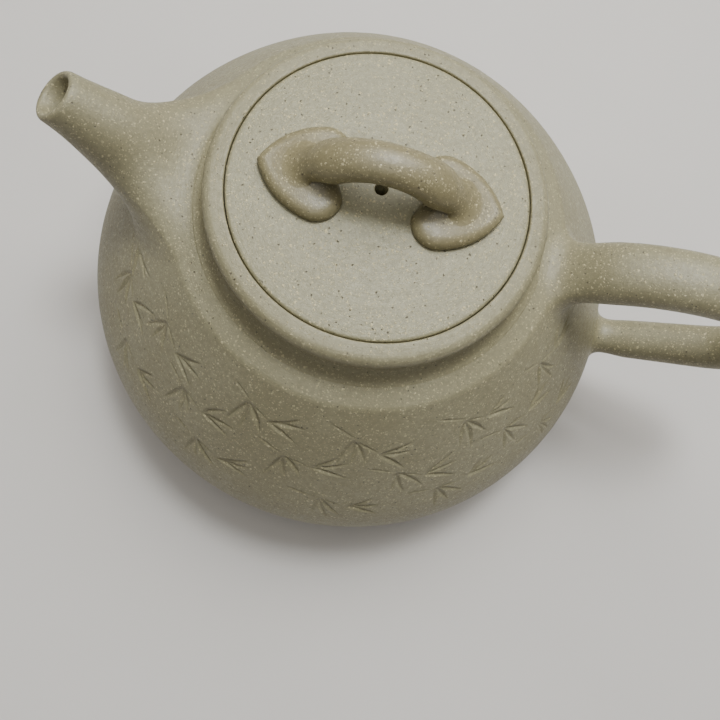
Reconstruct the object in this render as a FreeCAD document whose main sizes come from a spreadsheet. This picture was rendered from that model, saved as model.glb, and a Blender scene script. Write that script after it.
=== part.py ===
import FreeCAD, Part

import os

import Sketcher

# Low, round-bellied clay teapot with an inset lid and a bridge knob, built from the pieces that a potter joins.
# Millimetres. Origin at the centre of the foot's resting plane, +Z up, spout towards -X, handle towards +X.

DOC = FreeCAD.newDocument("Teapot")
VEC = FreeCAD.Vector
Y_AXIS = VEC(0, 1, 0)

# --------------------------------------------------------------------------------------------------
# Driving dimensions
# --------------------------------------------------------------------------------------------------
DIMENSIONS = {
    # belly, shoulder and foot
    "wall": 3.0,
    "belly_radius": 53.4,
    "belly_height": 17.5,
    "lower_curve": 15.5,
    "middle_curve": 24.6,
    "middle_turn": 30.0,
    "upper_curve": 142.0,
    "edge_radius": 34.4,
    "edge_height": 51.9,
    "edge_inset": 2.1,
    "joint_radius": 31.0,
    "shoulder_fall": 0.37,
    "foot_inner_radius": 33.0,
    "foot_bevel": 0.6,
    # neck and mouth
    "mouth_radius": 22.0,
    "neck_radius": 28.2,
    "neck_foot_radius": 30.4,
    "neck_hollow": 4.2,
    "seat_height": 57.9,
    "rim_height": 61.3,
    "pocket_radius": 25.15,
    "band_radius": 28.6,
    "band_side": 0.9,
    "band_top_radius": 26.9,
    "band_top_fall": 0.1,
    "band_shoulder": 1.6,
    "band_round": 1.9,
    # lid
    "lid_radius": 24.85,
    "lid_crown": 1.0,
    "lid_edge_round": 0.5,
    "vent_radius": 1.05,
    "flange_radius": 21.65,
    "flange_wall": 2.3,
    "flange_depth": 8.0,
    "flange_bevel": 0.6,
    "flange_bevel_height": 0.8,
    # knob
    "knob_turn": 3.0,
    "bridge_width": 6.6,
    "bridge_thickness": 5.6,
    "bridge_rise": 9.4,
    "bridge_curve": 12.4,
    "bridge_sweep": 118.0,
    "leaf_tip": 20.3,
    "leaf_back": 5.6,
    "leaf_notch": 8.0,
    "leaf_widest": 10.4,
    "leaf_half_width": 8.1,
    "leaf_side_curve": 13.5,
    "leaf_lobe_curve": 4.3,
    "leaf_top": 3.0,
    "leaf_sink": 0.6,
    "leaf_inner": 0.45,
    "leaf_round": 1.3,
    # spout
    "spout_root_reach": 38.5,
    "spout_root_height": 45.5,
    "spout_rise": 47.3,
    "spout_length": 22.4,
    "spout_lip_tilt": 2.7,
    "spout_trim": 12.0,
    # strainer
    "strainer_reach": 36.8,
    "strainer_height": 43.95,
    "strainer_fall": 35.9,
    "strainer_radius": 7.0,
    "strainer_wall": 1.4,
    "strainer_skirt": 1.4,
    "strainer_collar": 0.6,
    "strainer_hole": 0.75,
    "strainer_pitch": 2.35,
    "strainer_turn": 7.0,
    # handle
    "handle_width": 11.0,
    "handle_thickness": 8.0,
    "handle_end_width": 8.0,
    "handle_end_thickness": 6.4,
    "handle_top": 61.8,
    "handle_rise_curve": 29.2,
    "handle_rise_turn": 60.8,
    "handle_crest_start": 59.5,
    "handle_crest_end": 62.75,
    "handle_bend": 15.0,
    "handle_bend_turn": 148.0,
    "handle_return": 24.0,
}

# Spout stations, root first: distance along the axis, the centre's offset towards the lid and the radius
# of the outside, then the same two of the bore. Each number gets its own cell in the sheet.
STATION_WORDS = ("along", "rise", "radius", "bore_rise", "bore_radius")
SPOUT_STATIONS = (
    (-6.0, -0.6, 11.0, -1.0, 5.0),
    (0.0, 0.0, 9.6, -0.3, 4.4),
    (6.3, 0.7, 7.6, 0.4, 3.9),
    (12.6, 1.0, 6.2, 0.8, 3.4),
    (19.0, 0.6, 4.9, 0.6, 3.0),
    (26.4, -0.6, 4.2, -0.6, 2.8),
)
for number, station in enumerate(SPOUT_STATIONS, start=1):
    for word, size in zip(STATION_WORDS, station):
        DIMENSIONS["station_%s_%d" % (word, number)] = size

SHEET = DOC.addObject("Spreadsheet::Sheet", "Dims")
for row, (alias, size) in enumerate(DIMENSIONS.items(), start=1):
    SHEET.set("A%d" % row, alias)
    SHEET.set("B%d" % row, str(size))
    SHEET.setAlias("B%d" % row, alias)
CALCULATOR = DOC.addObject("App::FeaturePython", "Calculator")
DOC.recompute()


# --------------------------------------------------------------------------------------------------
# Expressions on the sheet
# --------------------------------------------------------------------------------------------------
def bind(text):
    """Put the sheet's name before each dimension in an expression."""
    parts = []
    word = ""
    for sign in str(text) + " ":
        if sign.isalnum() or sign == "_":
            word += sign
            continue
        parts.append("Dims." + word if word in DIMENSIONS else word)
        parts.append(sign)
        word = ""
    return "".join(parts).strip()


def value(text):
    """Work out an expression on the sheet's dimensions."""
    return float(CALCULATOR.evalExpression(bind(text)))


def drive(item, prop, text):
    """Bind one property of an object to an expression on the sheet's dimensions."""
    item.setExpression(prop, bind(text))


# --------------------------------------------------------------------------------------------------
# Sketching
# --------------------------------------------------------------------------------------------------
def new_body(name):
    """Start a body."""
    body = DOC.addObject("PartDesign::Body", name)
    body.Label = name
    return body


def new_sketch(body, name, role="XZ_Plane"):
    """Start a sketch on one of the body's own origin planes."""
    sketch = body.newObject("Sketcher::SketchObject", name)
    plane = next(item for item in body.Origin.OriginFeatures if item.Role == role)
    sketch.AttachmentSupport = (plane, [""])
    sketch.MapMode = "FlatFace"
    return sketch


def offset_sketch(sketch, across="0", along="0"):
    """Move a sketch across its plane and along its normal."""
    drive(sketch, "AttachmentOffset.Base.x", across)
    drive(sketch, "AttachmentOffset.Base.z", along)


def pin_point(sketch, geometry, point, across, up):
    """Fix a point of a sketch by two expressions, on an axis where one is zero."""
    for kind, text, axis in (("DistanceX", across, -2), ("DistanceY", up, -1)):
        if text == "0":
            sketch.addConstraint(Sketcher.Constraint("PointOnObject", geometry, point, axis))
            continue
        index = sketch.addConstraint(Sketcher.Constraint(kind, -1, 1, geometry, point, value(text)))
        drive(sketch, "Constraints[%d]" % index, text)


def arc_between(start, end, radius, centre_side):
    """Return the short arc between two points, and which of its ends is the start."""
    chord = end - start
    half = chord.Length / 2
    left = VEC(-chord.y, chord.x, 0).normalize()
    centre = (start + end) * 0.5 + left * (centre_side * (radius ** 2 - half ** 2) ** 0.5)
    first, last = (start, end) if centre_side > 0 else (end, start)
    spread = VEC(1, 0, 0)
    angles = [VEC(point - centre).getAngle(spread) * (1 if point.y >= centre.y else -1) for point in (first, last)]
    circle = Part.Circle(centre, VEC(0, 0, 1), radius)
    return Part.ArcOfCircle(circle, angles[0], angles[1]), centre_side < 0


def outline(sketch, corners, closed=True):
    """Draw lines and arcs from corner to corner.

    A corner is (across, up) where a straight edge follows, or (across, up, radius, side) where an arc
    follows: side is 1 with the arc's centre on the left of the way along, and -1 on the right.
    """
    points = [VEC(value(corner[0]), value(corner[1]), 0) for corner in corners]
    count = len(corners) if closed else len(corners) - 1
    ends = []
    for place in range(count):
        corner = corners[place]
        start, end = points[place], points[(place + 1) % len(points)]
        swapped = False
        if len(corner) == 4:
            shape, swapped = arc_between(start, end, value(corner[2]), corner[3])
        else:
            shape = Part.LineSegment(start, end)
        geometry = sketch.addGeometry(shape)
        ends.append((geometry, 2 if swapped else 1, 1 if swapped else 2))
        pin_point(sketch, geometry, ends[-1][1], corner[0], corner[1])
        if len(corner) == 4:
            index = sketch.addConstraint(Sketcher.Constraint("Radius", geometry, value(corner[2])))
            drive(sketch, "Constraints[%d]" % index, corner[2])
    for place in range(count if closed else count - 1):
        here, after = ends[place], ends[(place + 1) % len(ends)]
        sketch.addConstraint(Sketcher.Constraint("Coincident", here[0], here[2], after[0], after[1]))
    if not closed:
        pin_point(sketch, ends[-1][0], ends[-1][2], corners[-1][0], corners[-1][1])
    return sketch


def circle(sketch, radius, across="0", up="0"):
    """Draw a circle about a point of the sketch."""
    geometry = sketch.addGeometry(Part.Circle(VEC(value(across), value(up), 0), VEC(0, 0, 1), value(radius)))
    pin_point(sketch, geometry, 3, across, up)
    index = sketch.addConstraint(Sketcher.Constraint("Radius", geometry, value(radius)))
    drive(sketch, "Constraints[%d]" % index, radius)
    return sketch


def oval(sketch, width, height, up="0"):
    """Draw an ellipse on the sketch's upright axis, wider than it is high."""
    centre = VEC(0, value(up), 0)
    right = centre + VEC(value(width) / 2, 0, 0)
    top = centre + VEC(0, value(height) / 2, 0)
    geometry = sketch.addGeometry(Part.Ellipse(right, top, centre))
    sketch.exposeInternalGeometry(geometry)
    pin_point(sketch, geometry, 3, "0", up)
    sketch.addConstraint(Sketcher.Constraint("Horizontal", geometry + 1))
    for line, size in ((geometry + 1, width), (geometry + 2, height)):
        index = sketch.addConstraint(Sketcher.Constraint("Distance", line, value(size)))
        drive(sketch, "Constraints[%d]" % index, size)
    return sketch


# --------------------------------------------------------------------------------------------------
# Solids
# --------------------------------------------------------------------------------------------------
def turned(name, corners):
    """Turn a closed outline about the upright axis."""
    body = new_body(name)
    profile = outline(new_sketch(body, name + "_profile"), corners)
    feature = body.newObject("PartDesign::Revolution", name + "_turn")
    feature.Profile = profile
    feature.ReferenceAxis = (profile, ["V_Axis"])
    feature.Angle = 360
    return body


def drill(body, name, sketch, depth, back=False):
    """Cut a sketch's outline through a body."""
    pocket = body.newObject("PartDesign::Pocket", name)
    pocket.Profile = sketch
    pocket.Reversed = back
    drive(pocket, "Length", depth)
    return pocket


def cut(name, base, *tools):
    """Cut one tool after another from a solid."""
    result = base
    for number, tool in enumerate(tools, start=1):
        last = number == len(tools)
        step = DOC.addObject("Part::Cut", name if last else "%s_step_%d" % (name, number))
        step.Base = result
        step.Tool = tool
        result = step
    result.Label = name
    return result


def through_stations(body, name, rise, radius):
    """Loft round sections along a body's upright axis, one at each station of the spout."""
    sketches = []
    for number in range(1, len(SPOUT_STATIONS) + 1):
        sketch = new_sketch(body, "%s_section_%d" % (name, number), "XY_Plane")
        offset_sketch(sketch, "station_%s_%d" % (rise, number), "station_along_%d" % number)
        sketches.append(circle(sketch, "station_%s_%d" % (radius, number)))
    loft = body.newObject("PartDesign::AdditiveLoft", name + "_loft")
    loft.Profile = sketches[0]
    loft.Sections = sketches[1:]
    return loft


def lean(item, reach, height, angle):
    """Stand an item on a point of the spout's plane, its own axis turned about Y."""
    item.Placement = FreeCAD.Placement(VEC(0, 0, 0), FreeCAD.Rotation(Y_AXIS, 1))
    drive(item, "Placement.Base.x", reach)
    drive(item, "Placement.Base.z", height)
    drive(item, "Placement.Rotation.Angle", angle)


# --------------------------------------------------------------------------------------------------
# Belly, base, foot, shoulder, neck and mouth
# --------------------------------------------------------------------------------------------------
LOWER_CENTRE = "belly_radius - lower_curve"
MIDDLE_CENTRE = "belly_radius - middle_curve"
MIDDLE_END = (MIDDLE_CENTRE + " + middle_curve * cos(middle_turn)", "belly_height + middle_curve * sin(middle_turn)")
SHOULDER_TOP = "edge_height + (edge_radius - joint_radius) * shoulder_fall"
NECK_FOOT = ("neck_foot_radius", "edge_height + (edge_radius - neck_foot_radius) * shoulder_fall")
NECK_TOP = "edge_height + (edge_radius - mouth_radius) * shoulder_fall"

OUTSIDE_CURVE = [
    (LOWER_CENTRE, "belly_height - lower_curve", "lower_curve", 1),
    ("belly_radius", "belly_height", "middle_curve", 1),
    MIDDLE_END + ("upper_curve", 1),
    ("edge_radius", "edge_height"),
]


def belly_solid():
    """The beaten wall of the pot, from the base up over the shoulder's edge."""
    inner_end = (MIDDLE_CENTRE + " + (middle_curve - wall) * cos(middle_turn)",
                 "belly_height + (middle_curve - wall) * sin(middle_turn)")
    inside = [
        ("joint_radius", SHOULDER_TOP),
        ("joint_radius", SHOULDER_TOP + " - wall"),
        ("edge_radius - edge_inset", "edge_height - wall", "upper_curve - wall", -1),
        inner_end + ("middle_curve - wall", -1),
        ("belly_radius - wall", "belly_height", "lower_curve - wall", -1),
        (LOWER_CENTRE, "belly_height - lower_curve + wall"),
    ]
    return turned("belly_blank", OUTSIDE_CURVE + inside)


def envelope_solid():
    """All that lies inside the pot's outer skin, to trim what is joined to it."""
    inside = [
        NECK_FOOT + ("neck_hollow", -1),
        ("neck_radius", "seat_height"),
        ("0", "seat_height"),
        ("0", "belly_height - lower_curve"),
    ]
    return turned("envelope", OUTSIDE_CURVE + inside)


def base_plate():
    """The round slab that closes the pot underneath."""
    low = "belly_height - lower_curve"
    return turned("base_plate", [("0", low), (LOWER_CENTRE, low), (LOWER_CENTRE, low + " + wall"), ("0", low + " + wall")])


def foot_ring():
    """The low ring that the pot stands on."""
    top = "belly_height - lower_curve"
    return turned("foot_ring", [
        ("foot_inner_radius", "0"),
        (LOWER_CENTRE + " - foot_bevel", "0"),
        (LOWER_CENTRE, top),
        ("foot_inner_radius - foot_bevel", top),
    ])


def shoulder_ring():
    """The sloping top slab between the belly wall and the mouth."""
    return turned("shoulder_ring", [
        ("joint_radius", SHOULDER_TOP + " - wall"),
        ("joint_radius", SHOULDER_TOP),
        ("mouth_radius", NECK_TOP),
        ("mouth_radius", NECK_TOP + " - wall"),
    ])


def neck_ring():
    """The neck, hollowed outside where it runs into the shoulder, with the lid's seat on top."""
    return turned("neck_ring", [
        ("mouth_radius", NECK_TOP),
        NECK_FOOT + ("neck_hollow", -1),
        ("neck_radius", "seat_height"),
        ("mouth_radius", "seat_height"),
    ])


def mouth_band():
    """The rounded band round the lid, flush with it."""
    return turned("mouth_band", [
        ("pocket_radius", "seat_height"),
        ("neck_radius", "seat_height"),
        ("band_radius", "seat_height + band_side"),
        ("band_radius", "rim_height - band_shoulder", "band_round", 1),
        ("band_top_radius", "rim_height - band_top_fall"),
        ("pocket_radius", "rim_height"),
    ])


# --------------------------------------------------------------------------------------------------
# Spout and strainer
# --------------------------------------------------------------------------------------------------
def spout_and_bore():
    """The leaning spout, its lip cut a little towards level, and the passage through it."""
    blank = new_body("spout_blank")
    through_stations(blank, "spout_outside", "rise", "radius")
    passage = new_body("spout_passage")
    through_stations(passage, "spout_bore", "bore_rise", "bore_radius")
    for body in (blank, passage):
        lean(body, "-spout_root_reach", "spout_root_height", "spout_rise - 90")
    trim = DOC.addObject("Part::Cylinder", "lip_trim")
    drive(trim, "Radius", "spout_trim")
    drive(trim, "Height", "spout_trim")
    lean(trim, "-spout_root_reach - spout_length * cos(spout_rise)",
         "spout_root_height + spout_length * sin(spout_rise)", "spout_rise + spout_lip_tilt - 90")
    return blank, passage, trim


def strainer_blank():
    """A small perforated dome behind the spout, on the inside of the wall."""
    inner = "(strainer_radius - strainer_wall)"
    body = turned("strainer_blank", [
        (inner, "-strainer_skirt"),
        ("strainer_radius", "-strainer_skirt"),
        ("strainer_radius", "strainer_collar", "strainer_radius", 1),
        ("0", "strainer_collar + strainer_radius"),
        ("0", "strainer_collar + " + inner, inner, -1),
        (inner, "strainer_collar"),
    ])
    holes = new_sketch(body, "strainer_holes", "XY_Plane")
    circle(holes, "strainer_hole")
    for ring, count in ((1, 6), (2, 12)):
        for number in range(count):
            angle = "strainer_turn + 360 * %d / %d" % (number, count)
            circle(holes, "strainer_hole", "strainer_pitch * %d * cos(%s)" % (ring, angle),
                   "strainer_pitch * %d * sin(%s)" % (ring, angle))
    drill(body, "strainer_drilling", holes, "strainer_radius * 2", back=True)
    lean(body, "-strainer_reach", "strainer_height", "90 + strainer_fall")
    return body


# --------------------------------------------------------------------------------------------------
# Handle
# --------------------------------------------------------------------------------------------------
def handle_blank():
    """An ear-shaped loop of oval section that grows thinner towards its lower end."""
    body = new_body("handle_blank")
    bend_end = ("handle_crest_end + handle_bend * sin(handle_bend_turn)",
                "handle_top - handle_bend * (1 - cos(handle_bend_turn))")
    start = ("handle_crest_start - handle_rise_curve * sin(handle_rise_turn)",
             "handle_top - handle_rise_curve * (1 - cos(handle_rise_turn))")
    end = (bend_end[0] + " + handle_return * cos(handle_bend_turn)",
           bend_end[1] + " - handle_return * sin(handle_bend_turn)")
    path = outline(new_sketch(body, "handle_path"), [
        start + ("handle_rise_curve", -1),
        ("handle_crest_start", "handle_top"),
        ("handle_crest_end", "handle_top", "handle_bend", -1),
        bend_end,
        end,
    ], closed=False)
    sections = []
    for name, place, turn, width, thickness in (
            ("handle_upper_section", start, "-handle_rise_turn", "handle_width", "handle_thickness"),
            ("handle_lower_section", end, "handle_bend_turn", "handle_end_width", "handle_end_thickness")):
        section = new_sketch(body, name, "YZ_Plane")
        section.AttachmentOffset = FreeCAD.Placement(VEC(0, 0, 0), FreeCAD.Rotation(VEC(1, 0, 0), 1))
        drive(section, "AttachmentOffset.Base.y", place[1])
        drive(section, "AttachmentOffset.Base.z", place[0])
        drive(section, "AttachmentOffset.Rotation.Angle", turn)
        sections.append(oval(section, width, thickness))
    pipe = body.newObject("PartDesign::AdditivePipe", "handle_pipe")
    pipe.Profile = sections[0]
    pipe.Spine = path
    pipe.Sections = sections[1:]
    pipe.Transformation = "Multisection"
    return body


# --------------------------------------------------------------------------------------------------
# Lid and knob
# --------------------------------------------------------------------------------------------------
def lid_plate():
    """The flat lid with a gentle crown, a rounded edge and the vent."""
    crown_curve = "(lid_radius ^ 2 + lid_crown ^ 2) / (2 * lid_crown)"
    edge = "(lid_radius - lid_edge_round)"
    return turned("lid_plate", [
        ("vent_radius", "seat_height"),
        ("lid_radius", "seat_height"),
        ("lid_radius", "rim_height - lid_edge_round", "lid_edge_round", 1),
        (edge, "rim_height", crown_curve, 1),
        ("vent_radius", "rim_height + lid_crown"),
    ])


def lid_flange():
    """The skirt under the lid that locates it in the mouth."""
    inner = "flange_radius - flange_wall"
    foot = "seat_height - flange_depth"
    return turned("lid_flange", [
        (inner, foot + " + flange_bevel_height"),
        (inner + " + flange_bevel", foot),
        ("flange_radius - flange_bevel", foot),
        ("flange_radius", foot + " + flange_bevel_height"),
        ("flange_radius", "seat_height"),
        (inner, "seat_height"),
    ])


def bridge_blank():
    """The knob's bridge, an oval bar bent to an arch."""
    body = new_body("bridge_blank")
    section = new_sketch(body, "bridge_section", "YZ_Plane")
    axis_height = "rim_height + bridge_rise - bridge_curve"
    axis_end = VEC(10, value(axis_height), 0)
    axis = section.addGeometry(Part.LineSegment(VEC(0, axis_end.y, 0), axis_end), True)
    pin_point(section, axis, 1, "0", axis_height)
    pin_point(section, axis, 2, "10", axis_height)
    oval(section, "bridge_width", "bridge_thickness", "rim_height + bridge_rise")
    arch = body.newObject("PartDesign::Revolution", "bridge_arch")
    arch.Profile = section
    arch.ReferenceAxis = (section, ["Axis0"])
    arch.Midplane = True
    drive(arch, "Angle", "bridge_sweep")
    turn_knob(body, "knob_turn")
    return body


def leaf_blank(name, turn):
    """One heart-shaped leaf at an end of the bridge, its upper edge rounded."""
    body = new_body(name)
    half = [
        ("leaf_tip", "0", "leaf_side_curve", 1),
        ("leaf_widest", "leaf_half_width", "leaf_lobe_curve", 1),
        ("leaf_back", "leaf_half_width * leaf_inner"),
        ("leaf_notch", "0"),
    ]
    mirrored = [
        ("leaf_back", "-leaf_half_width * leaf_inner", "leaf_lobe_curve", 1),
        ("leaf_widest", "-leaf_half_width", "leaf_side_curve", 1),
    ]
    sketch = new_sketch(body, name + "_outline", "XY_Plane")
    offset_sketch(sketch, along="rim_height - leaf_sink")
    outline(sketch, half + mirrored)
    pad = body.newObject("PartDesign::Pad", name + "_pad")
    pad.Profile = sketch
    drive(pad, "Length", "leaf_top + leaf_sink")
    DOC.recompute()
    top = max(range(len(pad.Shape.Faces)), key=lambda place: pad.Shape.Faces[place].CenterOfMass.z)
    round_edge = body.newObject("PartDesign::Fillet", name + "_round")
    round_edge.Base = (pad, ["Face%d" % (top + 1)])
    drive(round_edge, "Radius", "leaf_round")
    turn_knob(body, turn)
    return body


def turn_knob(body, turn):
    """Turn a part of the knob about the lid's axis."""
    body.Placement = FreeCAD.Placement(VEC(0, 0, 0), FreeCAD.Rotation(VEC(0, 0, 1), 1))
    drive(body, "Placement.Rotation.Angle", turn)


# --------------------------------------------------------------------------------------------------
# Assembly
# --------------------------------------------------------------------------------------------------
envelope = envelope_solid()
spout_body, bore, lip_trim = spout_and_bore()
belly_wall = cut("belly_wall", belly_solid(), bore)
spout = cut("spout", spout_body, envelope, bore, lip_trim)
strainer = cut("strainer", strainer_blank(), belly_wall)
handle = cut("handle", handle_blank(), envelope)
lid = lid_plate()
leaf_left = cut("knob_leaf_left", leaf_blank("leaf_left_blank", "180 + knob_turn"), lid)
leaf_right = cut("knob_leaf_right", leaf_blank("leaf_right_blank", "knob_turn"), lid)
bridge = cut("knob_bridge", bridge_blank(), leaf_left, leaf_right, lid)

NODES = [
    belly_wall, base_plate(), foot_ring(), shoulder_ring(), neck_ring(), mouth_band(),
    spout, strainer, handle, lid_flange(), lid, bridge, leaf_left, leaf_right,
]
DOC.recompute()

# --------------------------------------------------------------------------------------------------
# Checks and export
# --------------------------------------------------------------------------------------------------
for item in DOC.Objects:
    if "Invalid" in item.State or "Error" in item.State:
        raise RuntimeError("%s failed to recompute: %s" % (item.Name, item.State))

os.makedirs("parts", exist_ok=True)
for node in NODES:
    shape = node.Shape
    if shape.isNull() or not shape.isValid():
        raise RuntimeError("%s has no valid shape" % node.Label)
    if len(shape.Solids) != 1:
        raise RuntimeError("%s is %d solids" % (node.Label, len(shape.Solids)))
    shape.exportStep("parts/%s.step" % node.Label)
    box = shape.BoundBox
    print("%-16s volume %9.1f  x %6.1f %6.1f  y %6.1f %6.1f  z %6.1f %6.1f" % (
        node.Label, shape.Volume, box.XMin, box.XMax, box.YMin, box.YMax, box.ZMin, box.ZMax))
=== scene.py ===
"""Looks of a small unglazed clay teapot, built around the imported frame.

Sizes in the classes are millimetres and become metres when a mesh is made. The axes are the frame's own:
spout towards -X, handle towards +X, +Z up, foot on z = 0.
"""

import logging
import math
import random
from dataclasses import dataclass, field
from enum import Enum
from typing import Callable, Optional, Sequence

import bmesh
import bpy
import numpy as np
from mathutils import Matrix, Vector
from mathutils.bvhtree import BVHTree


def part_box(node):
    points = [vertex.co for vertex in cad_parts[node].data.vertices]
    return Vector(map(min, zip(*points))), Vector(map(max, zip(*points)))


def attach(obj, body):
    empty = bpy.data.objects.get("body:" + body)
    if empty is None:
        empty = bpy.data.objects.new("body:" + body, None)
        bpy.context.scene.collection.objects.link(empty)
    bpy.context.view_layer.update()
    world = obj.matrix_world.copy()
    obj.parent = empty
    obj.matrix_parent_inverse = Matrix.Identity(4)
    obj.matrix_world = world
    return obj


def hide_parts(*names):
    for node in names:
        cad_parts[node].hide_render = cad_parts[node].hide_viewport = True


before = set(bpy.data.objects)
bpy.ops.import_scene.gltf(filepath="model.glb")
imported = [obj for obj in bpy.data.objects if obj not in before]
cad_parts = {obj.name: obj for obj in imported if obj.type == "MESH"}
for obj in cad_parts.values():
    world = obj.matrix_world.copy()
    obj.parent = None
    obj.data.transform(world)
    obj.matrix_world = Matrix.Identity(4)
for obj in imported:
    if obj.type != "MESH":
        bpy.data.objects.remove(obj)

LOG = logging.getLogger("teapot")
MM = 0.001
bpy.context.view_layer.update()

Point = tuple[float, float]
Ring = list[Vector]
Colour = tuple[float, float, float]


class Body(Enum):
    """The frame's bodies that pieces ride on."""

    POT = "pot"
    SKIRT = "lid_skirt"
    LID = "lid"


# Bench tools
def deselect_all() -> None:
    """Leave nothing selected, in object mode."""
    if bpy.context.object and bpy.context.object.mode != "OBJECT":
        bpy.ops.object.mode_set(mode="OBJECT")
    bpy.ops.object.select_all(action="DESELECT")


def take(piece: bpy.types.Object) -> None:
    """Select one piece alone and make it active."""
    deselect_all()
    piece.select_set(True)
    bpy.context.view_layer.objects.active = piece


def node_box(node: str) -> tuple[Vector, Vector]:
    """Give a CAD node's lowest and highest corners in millimetres."""
    low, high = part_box(node)
    return low / MM, high / MM


class Outline:
    """A curve drawn point by point in a plane, as (across, up) in millimetres."""

    def __init__(self, across: float, up: float) -> None:
        """Put the first point down."""
        self.points: list[Point] = [(across, up)]

    def line(self, across: float, up: float, pitch: float = 1.0) -> "Outline":
        """Draw straight to a point.

        Args:
            across: The end's first coordinate.
            up: The end's second coordinate.
            pitch: The longest step between points.

        Returns:
            The outline itself.
        """
        start = Vector(self.points[-1])
        end = Vector((across, up))
        count = max(1, math.ceil((end - start).length / pitch))
        self.points += [tuple(start.lerp(end, step / count)) for step in range(1, count + 1)]
        return self

    def bow(self, across: float, up: float, radius: float, pitch: float = 1.0) -> "Outline":
        """Draw an arc to a point.

        Args:
            across: The end's first coordinate.
            up: The end's second coordinate.
            radius: The arc's radius, positive where its centre lies left of the way to the end.
            pitch: The longest step between points.

        Returns:
            The outline itself.
        """
        start = Vector(self.points[-1])
        end = Vector((across, up))
        chord = end - start
        left = Vector((-chord.y, chord.x)).normalized()
        depth = math.sqrt(max(radius ** 2 - (chord.length / 2) ** 2, 0.0))
        centre = start + chord / 2 + left * math.copysign(depth, radius)
        turn = 2 * math.asin(min(chord.length / 2 / abs(radius), 1.0)) * math.copysign(1.0, radius)
        count = max(2, math.ceil(abs(turn * radius) / pitch))
        spoke = start - centre
        for step in range(1, count + 1):
            angle = turn * step / count
            self.points.append((
                centre.x + spoke.x * math.cos(angle) - spoke.y * math.sin(angle),
                centre.y + spoke.x * math.sin(angle) + spoke.y * math.cos(angle),
            ))
        return self

    def ease(self, via: Point, across: float, up: float, steps: int = 6) -> "Outline":
        """Round a corner with a parabola.

        Args:
            via: The sharp corner that the curve stays inside.
            across: The end's first coordinate.
            up: The end's second coordinate.
            steps: How many points the curve gets.

        Returns:
            The outline itself.
        """
        start, corner, end = Vector(self.points[-1]), Vector(via), Vector((across, up))
        for step in range(1, steps + 1):
            share = step / steps
            self.points.append(tuple(start.lerp(corner, share).lerp(corner.lerp(end, share), share)))
        return self


def turned(name: str, points: Sequence[Point], steps: int = 320) -> bpy.types.Object:
    """Draw a half section by extruding one vertex, then spin it about Z.

    Args:
        name: The new piece's name.
        points: The section as (radius, height); it ends at its first point if it is a ring.
        steps: How many faces go round.

    Returns:
        The piece, closed, with its faces outwards.
    """
    deselect_all()
    start = Vector((points[0][0] * MM, 0.0, points[0][1] * MM))
    bpy.ops.mesh.primitive_plane_add(size=MM, location=start)
    piece = bpy.context.object
    bpy.ops.object.transform_apply(location=True, rotation=True, scale=True)
    bpy.ops.object.mode_set(mode="EDIT")
    bpy.ops.mesh.select_mode(type="VERT")
    bpy.ops.mesh.select_all(action="SELECT")
    bpy.ops.mesh.merge(type="CENTER")
    for before, after in zip(points, points[1:]):
        step = ((after[0] - before[0]) * MM, 0.0, (after[1] - before[1]) * MM)
        bpy.ops.mesh.extrude_region_move(TRANSFORM_OT_translate={"value": step})
    bpy.ops.mesh.select_all(action="SELECT")
    bpy.ops.mesh.spin(steps=steps, angle=math.tau, center=(0, 0, 0), axis=(0, 0, 1))
    bpy.ops.mesh.select_all(action="SELECT")
    bpy.ops.mesh.remove_doubles(threshold=0.003 * MM)
    bpy.ops.mesh.normals_make_consistent(inside=False)
    return named(piece, name)


def named(piece: bpy.types.Object, name: str, sharp: float = 50.0) -> bpy.types.Object:
    """Leave edit mode, name a piece and shade it smooth up to an edge angle in degrees."""
    take(piece)
    piece.name = name
    piece.data.name = name
    bpy.ops.object.shade_smooth_by_angle(angle=math.radians(sharp))
    return piece


def skinned(name: str, rings: Sequence[Ring], closed: bool = False) -> bpy.types.Object:
    """Stretch a skin over rings of equal count, given in millimetres.

    Args:
        name: The new piece's name.
        rings: The rings in order.
        closed: Whether the last ring joins the first; if not, both ends get a cap.

    Returns:
        The piece, with its faces outwards.
    """
    mesh = bpy.data.meshes.new(name)
    shell = bmesh.new()
    rows = [[shell.verts.new(point * MM) for point in ring] for ring in rings]
    pairs = list(zip(rows, rows[1:]))
    if closed:
        pairs.append((rows[-1], rows[0]))
    for lower, upper in pairs:
        for here in range(len(lower)):
            there = (here + 1) % len(lower)
            shell.faces.new((lower[here], lower[there], upper[there], upper[here]))
    if not closed:
        for row in (rows[0], rows[-1]):
            centre = shell.verts.new(sum((vert.co for vert in row), Vector()) / len(row))
            for here in range(len(row)):
                shell.faces.new((row[here], row[(here + 1) % len(row)], centre))
    bmesh.ops.recalc_face_normals(shell, faces=shell.faces)
    shell.to_mesh(mesh)
    shell.free()
    piece = bpy.data.objects.new(name, mesh)
    bpy.context.scene.collection.objects.link(piece)
    return named(piece, name)


def apply_modifier(piece: bpy.types.Object, kind: str, **settings: object) -> None:
    """Add a modifier, set it up and apply it."""
    take(piece)
    modifier = piece.modifiers.new(kind.lower(), kind)
    for key, value in settings.items():
        setattr(modifier, key, value)
    bpy.ops.object.modifier_apply(modifier=modifier.name)


def surface_of(*pieces: bpy.types.Object) -> BVHTree:
    """Make a search tree, in millimetres, over the skins of some pieces."""
    corners: list[Vector] = []
    faces: list[list[int]] = []
    for piece in pieces:
        base = len(corners)
        corners += [vert.co / MM for vert in piece.data.vertices]
        faces += [[base + corner for corner in face.vertices] for face in piece.data.polygons]
    return BVHTree.FromPolygons(corners, faces)


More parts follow.
